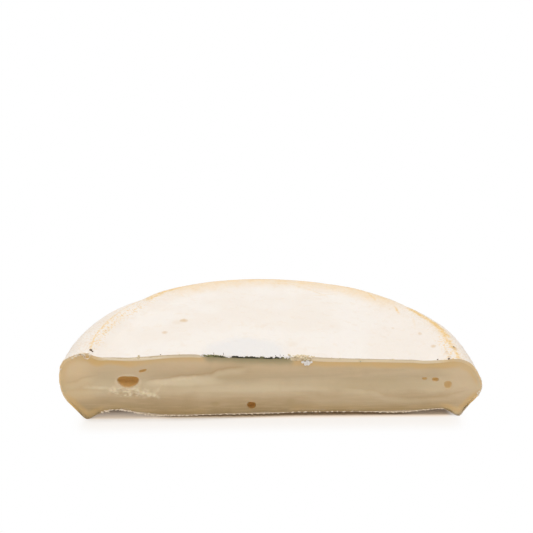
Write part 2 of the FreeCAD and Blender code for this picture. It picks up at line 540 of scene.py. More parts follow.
def write_marks(paste):
    """Gives each point of the paste its distance to the rind, 1 from RIND_REACH on,
    and how much painted shade, and how much pale torn paste and painted highlight, the knife's
    marks put on it."""
    skin = rind_skin()
    marks = {"rind_near": [], "dark_line": [], "pale_line": []}
    for point in paste.data.vertices:
        distance = skin.find_nearest(point.co)[3]
        _, dark, pale = knife_relief(point.co.x / MM, point.co.z / MM)
        marks["rind_near"].append(min(distance / RIND_REACH, 1))
        marks["dark_line"].append(dark)
        marks["pale_line"].append(pale)
    for name, values in marks.items():
        write_values(paste, name, values)


class HALFWHEEL_OT_paste(bpy.types.Operator):
    """Makes the paste: the cut face with its drag lines, torn patch and eyes"""

    bl_idname = "half_wheel.paste"
    bl_label = "Paste"

    def execute(self, context):
        width = 2 * WHEEL_RADIUS + PASTE_MARGIN
        height = CHEESE_HIGH.z - CHEESE_LOW.z + PASTE_MARGIN
        middle = (0, CUT_Y, (CHEESE_HIGH.z + CHEESE_LOW.z) / 2)
        bpy.ops.mesh.primitive_grid_add(
            x_subdivisions=round(width / sizes().paste_face),
            y_subdivisions=round(height / sizes().paste_face),
            size=1, location=middle, rotation=(math.pi / 2, 0, 0),
        )
        paste = settled(bpy.context.object, "paste", (width, height, 1))
        for point in paste.data.vertices:
            point.co.y -= knife_relief(point.co.x / MM, point.co.z / MM)[0] * MM
        with editing(paste, mode="FACE"):
            bpy.ops.mesh.extrude_region_move(
                TRANSFORM_OT_translate={"value": (0, sizes().paste_depth, 0)}
            )
        with editing(paste):
            bpy.ops.mesh.normals_make_consistent(inside=False)
        carve(paste, bpy.data.objects["paste_block"], "INTERSECT")
        carve(paste, eggs(), "DIFFERENCE")
        write_marks(paste)
        drag_edges(paste)
        smooth_shaded(paste)
        dress(paste, paste_material(), "paste", "cheese")
        return {"FINISHED"}


# ---- writing materials
def sum_of(operation, swapped=False):
    """A way to write one shader sum with a sign, with the number on either side."""
    def worked_out(self, other):
        pair = (other, self) if swapped else (self, other)
        return self.recipe.maths(operation, *pair)
    return worked_out


class Value:
    """A number or place in a shader, which sums can be written with."""

    def __init__(self, recipe, socket):
        self.recipe = recipe
        self.socket = socket

    __add__ = sum_of("ADD")
    __radd__ = sum_of("ADD", swapped=True)
    __sub__ = sum_of("SUBTRACT")
    __rsub__ = sum_of("SUBTRACT", swapped=True)
    __mul__ = sum_of("MULTIPLY")
    __rmul__ = sum_of("MULTIPLY", swapped=True)
    __truediv__ = sum_of("DIVIDE")
    most = sum_of("MAXIMUM")

    def __abs__(self):
        return self.recipe.maths("ABSOLUTE", self)

    def rise(self, low, high):
        """0 at low, 1 at high and smooth between them; low may be the larger."""
        settings = {"interpolation_type": "SMOOTHSTEP"}
        return self.recipe.node("ShaderNodeMapRange", settings, [self, low, high])

    def bell(self, width):
        """1 at 0, fading on both its sides."""
        off = self / width
        return self.recipe.maths("EXPONENT", off * off * -1)

    def stretch(self, low, high, soft):
        """1 from low to high, with soft ends."""
        return self.rise(low - soft, low + soft) * self.rise(high + soft, high - soft)

    def noise(self, size, detail=2, roughness=0.5):
        """Noise around 0.5 with lumps of one size, at this place."""
        inputs = {"Vector": self, "Scale": 1 / size, "Detail": detail, "Roughness": roughness}
        return self.recipe.node("ShaderNodeTexNoise", inputs=inputs)


class Recipe:
    """The nodes of one material or world, written from the top down."""

    def __init__(self, owner):
        self.owner = owner
        owner.use_nodes = True
        self.tree = owner.node_tree
        self.tree.nodes.clear()

    def node(self, kind, settings=None, inputs=(), output=0):
        """Adds a node: its settings first, then the values or links of its sockets."""
        node = self.tree.nodes.new(kind)
        for name, value in (settings or {}).items():
            if name == "stops":
                fill_ramp(node.color_ramp, value)
            else:
                setattr(node, name, value)
        pairs = inputs.items() if isinstance(inputs, dict) else enumerate(inputs)
        for key, value in pairs:
            if isinstance(value, Value):
                self.tree.links.new(value.socket, node.inputs[key])
            else:
                node.inputs[key].default_value = value
        return Value(self, node.outputs[output]) if len(node.outputs) else None

    def maths(self, operation, *values):
        """One sum of numbers or values."""
        return self.node("ShaderNodeMath", {"operation": operation}, values)

    def place(self):
        """(x, y, z) on the wheel in millimetres, with y from the wheel's axis."""
        where = self.node("ShaderNodeTexCoord", output="Object")
        x, y, z = self.parts(where)
        return x / MM, (y - CUT_Y) / MM, z / MM

    def facing(self):
        """The direction (x, y, z) that the surface faces."""
        return self.parts(self.node("ShaderNodeTexCoord", output="Normal"))

    def parts(self, vector):
        """The x, y and z of a vector."""
        kind = "ShaderNodeSeparateXYZ"
        return [self.node(kind, inputs=[vector], output=axis) for axis in range(3)]

    def distance(self, x, y):
        """How far a place is from the middle."""
        return self.maths("SQRT", x * x + y * y)

    def vector(self, x, y, z):
        """A vector from x, y and z."""
        return self.node("ShaderNodeCombineXYZ", inputs=[x, y, z])

    def spot(self, offsets, halves, ragged, soft=0.5):
        """1 inside an ellipse with a soft ragged edge."""
        reach = ragged
        for offset, half in zip(offsets, halves):
            reach = reach + (offset / half) * (offset / half)
        return reach.rise(1 + soft, 1 - soft)

    def attribute(self, name):
        """What the mesh's points carry under a name."""
        return self.node("ShaderNodeAttribute", {"attribute_name": name}, output="Fac")

    def blend(self, share, start, end):
        """A colour between two colours."""
        settings = {"data_type": "RGBA", "clamp_factor": True}
        return self.node("ShaderNodeMix", settings, {0: share, 6: start, 7: end}, 2)

    def coats(self, colour, *coats):
        """A colour with others laid over it in turn, each as (share, colour)."""
        for share, coat in coats:
            colour = self.blend(share, colour, coat)
        return colour

    def relief(self, *bumps):
        """Bumps on bumps, each a height of 0 to 1 and the millimetres that 1 stands for."""
        under = {}
        for height, depth in bumps:
            inputs = {"Height": height, "Distance": depth * MM, "Strength": 1, **under}
            under = {"Normal": self.node("ShaderNodeBump", inputs=inputs)}
        return under["Normal"]

    def surface(self, colour, roughness, relief, gloss=0.3, soft=(0, (1, 1, 1), 1)):
        """Ends the material in one Principled shader. Soft is how much light goes in
        under the surface, each colour's reach, and that reach in millimetres."""
        weight, reach, scale = soft
        inputs = {
            "Base Color": colour, "Roughness": roughness, "Normal": relief,
            "Specular IOR Level": gloss, "Subsurface Weight": weight,
            "Subsurface Radius": reach, "Subsurface Scale": scale * MM,
        }
        shader = self.node("ShaderNodeBsdfPrincipled", inputs=inputs)
        self.node("ShaderNodeOutputMaterial", inputs={"Surface": shader})
        return self.owner

    def seen(self):
        """1 for what the camera sees, straight or in a gloss or through glass."""
        share = self.node("ShaderNodeLightPath", output="Is Camera Ray")
        for ray in ("Is Glossy Ray", "Is Transmission Ray"):
            share = share.most(self.node("ShaderNodeLightPath", output=ray))
        return share


def fill_ramp(ramp, stops):
    """Gives a colour ramp its (place, colour) stops."""
    while len(ramp.elements) < len(stops):
        ramp.elements.new(1)
    for element, (place, colour) in zip(ramp.elements, stops):
        element.position = place
        element.color = colour


def new_material(name):
    """A recipe for a new material, with x, y and z on the wheel and the place they make."""
    recipe = Recipe(bpy.data.materials.new(name))
    x, y, z = recipe.place()
    return recipe, x, y, z, recipe.vector(x, y, z)


def dress(piece, material, slot, *nodes):
    """Gives a finished piece its material and body, and hides the CAD nodes it stands for; the slot
    is not used.
    """
    piece.data.materials.clear()
    piece.data.materials.append(material)
    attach(piece, "root")
    if nodes:
        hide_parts(*nodes)


# ---- the rind's finish
# Where the golden skin shows through the bloom along the lip, in degrees and millimetres:
# from and to azimuth, inset at both, half width, strength.
LIP_MARKS = (
    (154, 178, 9.7, 11.3, 0.42, 0.65),
    (136, 156, 8.1, 9.9, 0.45, 0.50),
    (149, 175, 12.3, 12.8, 0.60, 0.22),
    (120, 136, 7.6, 8.7, 1.10, 1.20),
    (128, 136, 9.3, 9.9, 0.60, 0.90),
    (130, 137, 10, 10.5, 0.90, 1.10),
    (98, 120, 8, 8.2, 0.60, 0.30),
    (46, 100, 8.6, 7.8, 0.65, 0.50),
    (66, 82, 18.4, 12.6, 0.40, 0.30),
    (63, 71, 15.1, 19.2, 0.40, 0.25),
    (68, 97, 11.4, 10.6, 0.35, 0.35),
    (74, 92, 13.2, 12.6, 0.30, 0.30),
    (49, 54, 11.8, 8.7, 0.45, 1.10),
    (36, 40, 13.8, 11.6, 0.45, 1.10),
    (25, 31, 15, 12, 0.45, 0.25),
    (14, 37, 7.9, 7.4, 1.40, 1.45),
    (9, 20, 9.3, 8.3, 0.80, 1.20),
    (-3, 10, 8.6, 9.2, 0.50, 1.00),
)
# Tan smears on the flat: middle x and y from the axis, half sizes, strength, in millimetres.
SPOTS = (
    (-32.1, 29, 1.2, 1.2, 0.75), (-38.6, 19.2, 0.9, 1, 0.55), (-34.5, 27.6, 1.6, 1.6, 0.14),
    (58.7, 9.4, 0.8, 1, 0.6), (7.9, 10, 1.6, 2, 0.14), (66, 7.6, 0.9, 1.4, 0.9),
    (62.6, 4, 0.6, 0.9, 0.5), (63.3, 1.4, 0.5, 0.8, 0.5), (46, 25, 0.5, 0.6, 0.35),
    (55.3, 19.6, 0.6, 1, 0.5),
)


def lip_share(azimuth, inset, drift, dashes, coarse):
    """How much golden skin shows along the lip: short marks, broken up, and specks."""
    broken = (dashes * 0.6 + coarse * 0.4).rise(0.42, 0.54)
    share = 0
    for start, end, inset_start, inset_end, half, strength in LIP_MARKS:
        slope = (inset_end - inset_start) / (end - start)
        off = inset - inset_start - (azimuth - start) * slope - drift * 1.6
        line = off.bell(half) * azimuth.stretch(start, end, 2)
        share = (line * strength).most(share)
    share = share * (broken * 0.6 + 0.4)
    specks = inset.stretch(7.5, 13, 1.5) * azimuth.stretch(-3, 14, 3)
    left = inset.stretch(9.8, 13.8, 1) * azimuth.stretch(136, 176, 4)
    return share + (specks * 0.95 + left * 0.65) * dashes.rise(0.53, 0.61)


def edge_layers(recipe, x, z, fine):
    """The rind at the cut: a dim skin, partly painted shade along the bloom's edge, over a pale
    layer on top, ripe and golden at both ends, pale and rosy below, and white over the mark."""
    colour = colours()
    over_mark = x.stretch(MARK_LOW.x / MM, MARK_HIGH.x / MM, 0.8) * z.rise(15, 20)
    depth = recipe.attribute("rind_depth") + (fine - 0.5) * (0.4 - over_mark * 0.3)
    lined = x.rise(-34, -40)
    low = recipe.blend(depth.rise(0.45, 0.75), colour.edge_low, colour.paste_low)
    ends = x.rise(-56, -63).most(x.rise(58, 64))
    ends = ends * (1 - z.rise(4.5, 3) * x.rise(-20, 50))
    ripe_end = recipe.coats(
        colour.edge_skin_and_shade,
        (depth.rise(-0.1, 0.2), colour.edge_end),
        (z.rise(9, 5), colour.orange_band),
        (z.rise(4, 1.5), colour.paste_low),
    )
    # The dim outer skin, and the dimmer one on the left, are partly painted shade along the bloom's
    # edge.
    return recipe.coats(
        colour.edge_skin_and_shade,
        (depth.rise(0, 0.25), colour.edge_pale),
        (depth.rise(0.5, 0.85), colour.edge_inner),
        (lined * depth.rise(0.45, 0.3) * 0.8, colour.dim_edge_skin_and_shade),
        (lined * (depth - 0.62).bell(0.18), colour.edge_line),
        (z.rise(9, 5), low),
        (ends, ripe_end),
        (over_mark, recipe.blend(depth.rise(0, 0.1), colour.film, colour.green_paste)),
    )


def rind_material():
    """White bloom over a golden skin, cooler over the mark, in layers at the cut."""
    recipe, x, y, z, where = new_material("rind")
    colour = colours()
    _, facing_y, facing_z = recipe.facing()
    inset = WHEEL_RADIUS / MM - recipe.distance(x, y)
    azimuth = recipe.maths("ARCTAN2", y, x) * math.degrees(1)
    drift = where.noise(9, 3) - 0.5
    fine = where.noise(1.1, 3, 0.6)
    coarse = where.noise(3.2, 4, 0.65)
    dashes = where.noise(0.75, 2, 0.6)
    upper = facing_z.rise(0.3, 0.75)
    side = abs(facing_z).rise(0.8, 0.45)
    # White bloom, a little warmer and greyer in places, and creamy along the lip.
    warm = (where.noise(22) + x.rise(5, 60) * 0.1).rise(0.4, 0.62)
    mottled = side * 0.8 + inset.rise(16, 8) * 0.8
    thin = coarse.rise(0.52, 0.72) * 0.35 + dashes.rise(0.46, 0.62) * mottled
    by_lip = inset.rise(5, 7.5) * inset.rise(17.5, 9) * azimuth.stretch(42, 126, 8)
    skin = recipe.coats(
        colour.bloom,
        (warm, colour.bloom_warm),
        (thin, colour.bloom_grey),
        (by_lip * upper * (coarse * 1.7), colour.cream),
    )
    # The golden skin shows through along the lip, on the shoulder and round the side.
    share = lip_share(azimuth, inset, drift, dashes, coarse)
    streaks = recipe.vector(azimuth / 7, z / 2.6, inset * 0.2).noise(1, 5, 0.65)
    patches = streaks.rise(0.48, 0.66) * (fine.rise(0.35, 0.6) * 0.7 + 0.3)
    patches = patches * (y.rise(2, 25) * 0.5 + 0.5)
    share = share * upper + side * patches * 0.9
    golden = recipe.blend(coarse.rise(0.45, 0.68), colour.golden, colour.golden_deep)
    # Small tan dots and a few smears.
    dots = {"Vector": where, "Scale": 1 / 11, "Randomness": 1}
    dots = recipe.node("ShaderNodeTexVoronoi", {"feature": "F1"}, dots, "Distance")
    tan = dots.rise(0.055, 0.02) * inset.rise(6, 9) * 0.3
    ragged = (fine - 0.5) * 1.6
    for spot_x, spot_y, half_x, half_y, strength in SPOTS:
        spot = recipe.spot((x - spot_x, y - spot_y), (half_x, half_y), ragged, 1.6)
        tan = tan + spot * upper * strength
    # The film over the casein mark is cooler and smoother.
    from_mark = recipe.distance(x - MARK_X / MM, y) + drift * 5 + (coarse - 0.5) * 4
    film = from_mark.rise(MARK_RADIUS / MM + 1.5, MARK_RADIUS / MM - 4.5) * upper
    # At the cut the rind shows its own thickness.
    at_cut = facing_y.rise(-0.75, -0.95) * y.rise(0.5, 0.2)
    skin = recipe.coats(
        skin, (share, golden), (tan, colour.tan), (film * 0.85, colour.film),
        (at_cut, edge_layers(recipe, x, z, fine)),
    )
    velvet = where.noise(0.45, 4, 0.65)
    weave = recipe.vector(x / 0.45, y / 1.4, z / 0.8).noise(1)
    relief = recipe.relief((velvet, 0.12), (weave, 0.06), (coarse, 0.25))
    roughness = fine * 0.2 + 0.72 - film * 0.1
    return recipe.surface(skin, roughness, relief, 0.25, (0.06, (1, 0.85, 0.65), 1))


# ---- the paste's finish
# Faint darker and paler fields, most of them painted shade and painted light along the knife's
# creases and ridges: middle x and z, half width, half height in mm, strength, colour.
FIELDS = (
    (-20, 5.1, 1.6, 0.9, 0.40, "darker_field"), (7.2, 6, 1.6, 1, 0.22, "darker_field"),
    (12.7, 23, 0.7, 0.3, 0.90, "darker_field"), (37, 12.5, 17, 2.6, 0.22, "darker_field"),
    (-14, 17.4, 10, 3.6, 0.16, "darker_field"), (-6, 11, 20, 1.4, 0.25, "torn_paste_and_highlight"),
    (-51, 14.5, 12, 4, 0.45, "paste_band"), (33, 6, 20, 2.2, 0.35, "paste_band"),
    (-61.5, 12, 4.5, 0.6, 0.50, "torn_paste_and_highlight"), (-31, 14.4, 12, 1.6, 0.45, "torn_paste_and_highlight"),
)


def ripe_share(x, z, near_rind, warp, under_mark):
    """How much ripe paste lies under the rind all along the cut, with none under the mark."""
    band = (near_rind - warp * 1.6).rise(2.9, 0.8)
    ripe = x.rise(-44, -54) * 0.4 + x.rise(5, 14) * 0.2 + 0.4
    ripe = ripe - x.rise(-63, -68) * 0.5 - x.rise(64, 69) * 0.2
    ripe = ripe * z.rise(14, 19) + 0.12
    low_ends = x.rise(-58, -64) * 0.45 + x.rise(59, 65) * 0.6
    ripe = ripe + low_ends * z.stretch(2, 9, 1.8)
    arc = x.rise(62, 68) * z.stretch(12, 20, 2)
    arc = arc * (near_rind - 1.5).bell(0.8) * 0.5
    return (band * (1 - under_mark) * ripe).most(arc)


def with_eyes(recipe, flow, x, y, z):
    """The paste's colours with the eyes darker and amber inside, and painted light on the lower
    side of the large eye.
    """
    for eye_x, eye_z, half_width, half_height, depth, _, amber in EYES:
        halves = (half_width * 1.25 + 0.3, half_height * 1.25 + 0.3)
        inside = recipe.spot((x - eye_x, z - eye_z), halves, 0, 0.25)
        hollow = y.rise(0, min(depth * 0.9, 1.4))
        # Painted light on the lower side of the large eye's hollow.
        low = z.rise(eye_z, eye_z - half_height) * (0.7 if half_width > SMALL_EYE else 0)
        shades = recipe.blend(low, colours().eye, colours().eye_low_painted_light)
        flow = recipe.blend(inside * hollow * amber, flow, shades)
    return flow


def paste_material():
    """Ivory paste, darker towards the board, partly as riper paste and partly as painted shade;
    riper under the rind, amber in its eyes, with painted light and shade along the knife's marks.
    """
    recipe, x, y, z, where = new_material("paste")
    colour = colours()
    near_rind = recipe.attribute("rind_near") * (RIND_REACH / MM)
    warp = where.noise(9) - 0.5
    level = (z + warp * 3.5) / ((CHEESE_HIGH.z - CHEESE_LOW.z) / MM)
    # By height: darker towards the board, partly riper paste and partly painted shade, with a
    # painted light band at half height over painted shade below it.
    stops = (
        (0.00, colour.paste_foot), (0.10, colour.paste_low), (0.28, colour.paste_below),
        (0.40, colour.paste_band), (0.50, colour.paste_band), (0.60, colour.paste_middle),
        (0.85, colour.paste_top),
    )
    streaks = recipe.vector(x / 14, y / 14, z / 1.1).noise(1, 3, 0.6)
    left = recipe.blend(z.rise(13, 18), colour.paste_left_low, colour.paste_left)
    flow = recipe.coats(
        recipe.node("ShaderNodeValToRGB", {"stops": stops}, {"Fac": level}),
        (streaks.rise(0.45, 0.62) * 0.22, colour.paste_top),
        (where.noise(5, 3).rise(0.5, 0.7) * 0.14, colour.paste_below),
        (x.rise(-58, -69) * z.rise(5, 9) * 0.75, left),
        (x.rise(56, 70) * (z.rise(13, 18) * 0.3 + 0.5), colour.paste_right),
    )
    # Ripe orange paste under the rind, but not under the mark, where it is green.
    under_mark = x.stretch(MARK_LOW.x / MM + 1, MARK_HIGH.x / MM + 0.5, 1.6)
    green = under_mark * z.rise(17, 22.5) * (near_rind + warp * 1.5).rise(3.8, 0)
    ripe = ripe_share(x, z, near_rind, warp, under_mark)
    flow = recipe.coats(flow, (ripe, colour.orange_band), (green * 0.9, colour.green_paste))
    for field_x, field_z, half_width, half_height, strength, name in FIELDS:
        field = recipe.spot((x - field_x, z - field_z), (half_width, half_height), warp, 1.2)
        flow = recipe.blend(field * strength, flow, getattr(colour, name))
    flow = with_eyes(recipe, flow, x, y, z)
    # Pale torn paste with painted highlights on the knife's ledges, ridges and crumbs and on the
    # large eye's rim, then painted shade in its creases and between the crumbs.
    flow = recipe.coats(
        flow,
        (recipe.attribute("pale_line"), colour.torn_paste_and_highlight),
        (recipe.attribute("dark_line") * 0.55, colour.painted_paste_shade),
    )
    halves = (TORN_HALF[0] + 1, TORN_HALF[1] + 1)
    torn = recipe.spot((x - TORN_MIDDLE[0], z - TORN_MIDDLE[1]), halves, 0)
    crumbs = where.noise(0.8, 3, 0.7) * torn
    pores = where.noise(0.7, 5, 0.65)
    drag = recipe.vector(x / 5, y / 2, z / 0.35).noise(1)
    relief = recipe.relief((pores, 0.08), (drag, 0.06), (crumbs, 0.2))
    roughness = pores * 0.25 + 0.42 + torn * 0.2
    return recipe.surface(flow, roughness, relief, 0.35, (0.2, (1, 0.6, 0.3), 2.5))


# ---- the casein mark
MARK_PROUD = 0.22 * MM          # how far the green line stands out of the cut
MARK_SUNK = 0.06 * MM           # the least by which it stays below the rind's top
MARK_LENGTH = 0.98              # of its CAD length
# How far the mark lies below the CAD, how ragged its height and its front are, and how
# far the cut end of it bends up, in millimetres.
MARK_DROP, RAGGED_TOP, RAGGED_FRONT, MARK_BEND = 0.32, 0.10, 0.16, 0.22


def casein_material():
    """Olive green with darker lumps."""
    recipe, x, y, z, where = new_material("casein")
    lumps = where.noise(1.3, 4, 0.65)
    long_lumps = recipe.vector(x / 4, y, z).noise(1, 3, 0.6)
    dark = (lumps * 0.5 + long_lumps * 0.5).rise(0.42, 0.56)
    dark = dark.most(x.stretch(-14, -4, 1.2) * 0.85)
    green = recipe.blend(dark, colours().green, colours().green_dark)
    relief = recipe.relief((where.noise(0.35, 3), 0.12))
    return recipe.surface(green, lumps * 0.2 + 0.6, relief)


class HALFWHEEL_OT_green_mark(bpy.types.Operator):
    """Makes the green casein mark, a ragged green line where the knife went through it"""

    bl_idname = "half_wheel.green_mark"
    bl_label = "Green mark"

    def execute(self, context):
        mark = run_past_cut("casein_mark")
        mark.name = "green_mark"
        cut_off(mark, CUT_Y - MARK_PROUD)
        finish_with(mark, "REMESH", mode="VOXEL", voxel_size=sizes().mark_face)
        drag_edges(mark)
        skin = rind_skin()
        for point in mark.data.vertices:
            place = point.co
            ragged = grain(place, 1.5 * MM) + 0.6 * grain(place, 0.6 * MM, seed=5)
            front = 1 - rise(place.y, CUT_Y + 0.5 * MM, CUT_Y + 2 * MM)
            place.x = MARK_X + (place.x - MARK_X) * MARK_LENGTH
            place.z += (-MARK_DROP + RAGGED_TOP * ragged + MARK_BEND * front) * MM
            place.y -= front * RAGGED_FRONT * ragged * MM
            highest = top_of(skin, place.x, max(place.y, CUT_Y + 0.25 * MM)) - MARK_SUNK
            place.z = min(place.z, highest)
        smooth_shaded(mark)
        dress(mark, casein_material(), "casein", "casein_mark")
        return {"FINISHED"}


# ---- small scattered things
CRUMB_ROUGHNESS = 0.35
SMALLEST_LUMP = 0.25                # on a crumb, in millimetres
# Rows just behind the cut, along which the rind's edge is found for the crust and
# shreds, for the crumbs and for both ends.
EDGE_ROW = CUT_Y + 0.5 * MM
CRUMB_ROW = CUT_Y + 0.6 * MM
END_ROW = CUT_Y + 0.3 * MM


def top_of(skin, x, y):
    """Height of the rind's top over a place, in metres."""
    return skin.ray_cast(Vector((x, y, 1)), Vector((0, 0, -1)))[0].z


def bottom_of(skin, x, y):
    """Height of the rind's underside over a place, in metres."""
    return skin.ray_cast(Vector((x, y, -1)), Vector((0, 0, 1)))[0].z


def end_of(skin, side, z):
    """How far the rind reaches to the left (-1) or right (1) at the cut."""
    start = Vector((side, END_ROW, z))
    return skin.ray_cast(start, Vector((-side, 0, 0)))[0].x


def scattered(name, crumbs):
    """Copies of one small ball at (place, half sizes in mm, turn about y), each roughened."""
    bpy.ops.mesh.primitive_ico_sphere_add(subdivisions=2, radius=1, location=(0, 0, 0))
    model = bpy.context.object
    pieces = []
    for place, halves, turn in crumbs:
        copy = model.copy()
        copy.data = model.data.copy()
        bpy.context.collection.objects.link(copy)
        turned = Matrix.Rotation(math.radians(turn), 3, "Y")
        lump = max(min(halves), SMALLEST_LUMP)
        for point in copy.data.vertices:
            off = Vector(point.co[axis] * halves[axis] for axis in range(3))
            rough = noise.noise(off / lump + place / MM)
            point.co = place + turned @ off * (1 + CRUMB_ROUGHNESS * rough) * MM
        pieces.append(copy)
    bits = joined(pieces, name)
    bpy.data.objects.remove(model, do_unlink=True)
    return bits


def bits_material(name, main, other, depth):
    """Crumbs of one kind in two shades."""
    recipe, _, _, _, where = new_material(name)
    lumps = where.noise(0.6, 3, 0.6)
    shades = recipe.blend(lumps.rise(0.4, 0.62), main, other)
    relief = recipe.relief((where.noise(0.25, 3), depth))
    return recipe.surface(shades, lumps * 0.2 + 0.65, relief)


def dress_bits(bits, main, other, slot, relief=0.08):
    """Finishes scattered bits in two shades."""
    smooth_shaded(bits)
    dress(bits, bits_material(bits.name.replace("_", " "), main, other, relief), slot)


# The crust along the green line: from and to of each crumb's half sizes, in mm.
CRUST_HALVES = ((0.35, 0.8), (0.3, 0.5), (0.14, 0.26))
# Where crumbs of the crust fell over the green line: x, how far down, half size, in mm.
BLOOM_DROPS = (
    (-15.6, 0.35, 0.5), (-14.9, 0.45, 0.6), (-14.2, 0.3, 0.45), (-9.5, 0.1, 0.35), (-4.2, 0.1, 0.4),
    (-2, 0.15, 0.3), (0.9, 0.2, 0.45), (3.2, 0.3, 0.35), (4.9, 0.4, 0.45), (5.9, 0.3, 0.6),
    (11.3, 1.95, 0.7), (12.3, 2.2, 0.85), (13.3, 2.1, 0.8), (14.2, 1.85, 0.5), (12.8, 1.5, 0.6),
    (12.2, 2.75, 0.65), (13.1, 2.7, 0.7),
)


class HALFWHEEL_OT_bloom_crumbs(bpy.types.Operator):
    """Makes the white crust of bloom that broke off along the green line"""

    bl_idname = "half_wheel.bloom_crumbs"
    bl_label = "Bloom crumbs"

    def execute(self, context):
        chance = random.Random(3)
        skin = rind_skin()
        crumbs = []
        x = MARK_LOW.x - 0.5 * MM
        while x < MARK_HIGH.x:
            y = CUT_Y + chance.uniform(-0.05, 0.5) * MM
            z = top_of(skin, x, EDGE_ROW) - chance.uniform(0.02, 0.22) * MM
            halves = [chance.uniform(*limits) for limits in CRUST_HALVES]
            crumbs.append((Vector((x, y, z)), halves, chance.uniform(-15, 15)))
            x += chance.uniform(0.4, 1.1) * MM
        for x, drop, half in BLOOM_DROPS:
            z = top_of(skin, x * MM, EDGE_ROW) - drop * MM
            halves = (half, 0.35, half * 0.75)
            crumbs.append((Vector((x * MM, CUT_Y - 0.28 * MM, z)), halves, chance.uniform(-20, 20)))
        bits = scattered("bloom_crumbs", crumbs)
        dress_bits(bits, colours().film, colours().bloom, "rind")
        return {"FINISHED"}


# Pale crumbs of paste and rind stuck to the cut: x, z (None: at the top edge), half
# width, half height, turn.
PASTE_CRUMBS = (
    (31.7, 22, 0.45, 0.35, 20), (31.2, 22.3, 0.3, 0.2, 0),
    (-46.6, 24.1, 0.42, 0.6, 8), (-46.4, 24.8, 0.4, 0.4, 0), (43.1, None, 0.45, 0.3, 0),
    (24.3, None, 0.3, 0.2, 0), (21.3, None, 0.3, 0.2, 0), (-19.8, None, 0.25, 0.2, 0),
    (-32.1, None, 0.3, 0.2, 0), (-38.6, None, 0.3, 0.22, 0),
)
# The heap of small ones right of the mark: how many, and from, to and fullest x in mm.
HEAP_COUNT = 120
HEAP = (4.8, 16.5, 9.5)


class HALFWHEEL_OT_paste_crumbs(bpy.types.Operator):
    """Makes the pale crumbs of paste and rind that stick to the cut"""

    bl_idname = "half_wheel.paste_crumbs"
    bl_label = "Paste crumbs"

    def execute(self, context):
        chance = random.Random(8)
        skin = rind_skin()
        crumbs = []
        for x, z, half_width, half_height, turn in PASTE_CRUMBS:
            height = top_of(skin, x * MM, CRUMB_ROW) if z is None else z * MM
            place = Vector((x * MM, CUT_Y - 0.1 * MM, height))
            crumbs.append((place, (half_width, half_width * 0.7, half_height), turn))
        for _ in range(HEAP_COUNT):
            x = chance.triangular(*HEAP) * MM
            z = top_of(skin, x, CRUMB_ROW) + chance.uniform(-1.35, 0.3) * MM
            y = CUT_Y + chance.uniform(-0.3, 1) * MM
            half = chance.uniform(0.2, 0.5)
            crumbs.append((Vector((x, y, z)), (half, half, half * 0.7), chance.uniform(-40, 40)))
        bits = scattered("paste_crumbs", crumbs)
        dress_bits(bits, colours().crumb, colours().edge_inner, "paste")
        return {"FINISHED"}


# Dark specks on the rind: x, y from the axis, half sizes along x, y and z, in mm.
SPECKS = (
    (-63.5, 2.6, 0.6, 0.5, 0.35), (-62.9, 2.1, 0.35, 0.3, 0.25), (58.9, 0.4, 0.3, 0.3, 0.28),
    (62.8, 0.3, 0.36, 0.38, 0.33), (65.9, 8.4, 0.3, 0.45, 0.14), (-38.8, 0.6, 0.2, 0.25, 0.15),
    (-20.1, 0.2, 0.10, 0.12, 0.95), (-16.7, 0.2, 0.10, 0.12, 0.8), (1.6, 0.2, 0.12, 0.12, 0.6),
    (3.2, 0.2, 0.12, 0.12, 0.5), (4.4, 0.2, 0.14, 0.14, 0.45),
)


class HALFWHEEL_OT_specks(bpy.types.Operator):
    """Makes the dark specks on the rind"""

    bl_idname = "half_wheel.specks"
    bl_label = "Specks"

    def execute(self, context):
        skin = rind_skin()
        crumbs = []
        for x, y, *halves in SPECKS:
            place = Vector((x * MM, CUT_Y + y * MM, 0))
            place.z = top_of(skin, place.x, place.y)
            crumbs.append((place, halves, 0))
        bits = scattered("specks", crumbs)
        dress_bits(bits, colours().speck, colours().speck_brown, "rind", 0.05)
        return {"FINISHED"}


# Where the lower edge is frayed, from left to right, and finer from FINE_FROM on, in mm.
FRAYED_FROM, FINE_FROM, FRAYED_TO = -60.5, -33, 66
# Shreds at both ends of the cut: side, lowest and highest in mm, how many.
END_SHREDS = ((-1, 6, 23, 16), (1, 7, 21, 12))
# Shreds that hang from the rind's edge: x, z, half width, half height, turn.
HANGING = (
    (-59, 2.5, 0.6, 0.25, -25), (-58.2, 2.4, 0.4, 0.25, 30), (-53.4, 3.2, 0.7, 0.28, 10),
    (-38.3, 0.6, 0.25, 0.6, 35), (-37.6, 0.7, 0.22, 0.4, -10), (-43.8, 1.5, 0.5, 0.22, 15),
    (74.6, 9.4, 0.6, 0.35, -30), (74.1, 8.4, 0.8, 0.3, 55), (-74, 19.8, 0.25, 0.5, 10),
    (-65.9, 25.5, 0.8, 0.35, 10), (-68.4, 24.9, 0.7, 0.3, -20), (-63.4, 25.4, 0.7, 0.35, 10),
    (-69.6, 24.2, 0.5, 0.3, -30), (-67.3, 25.3, 0.45, 0.3, 0),
)
# Curls of rind at the left lip: middle x, z, radius, thickness, from and to angle.
CURLS = ((-66.6, 24.6, 1.5, 0.20, 175, 350), (-64.6, 25, 1.1, 0.18, 10, 200))


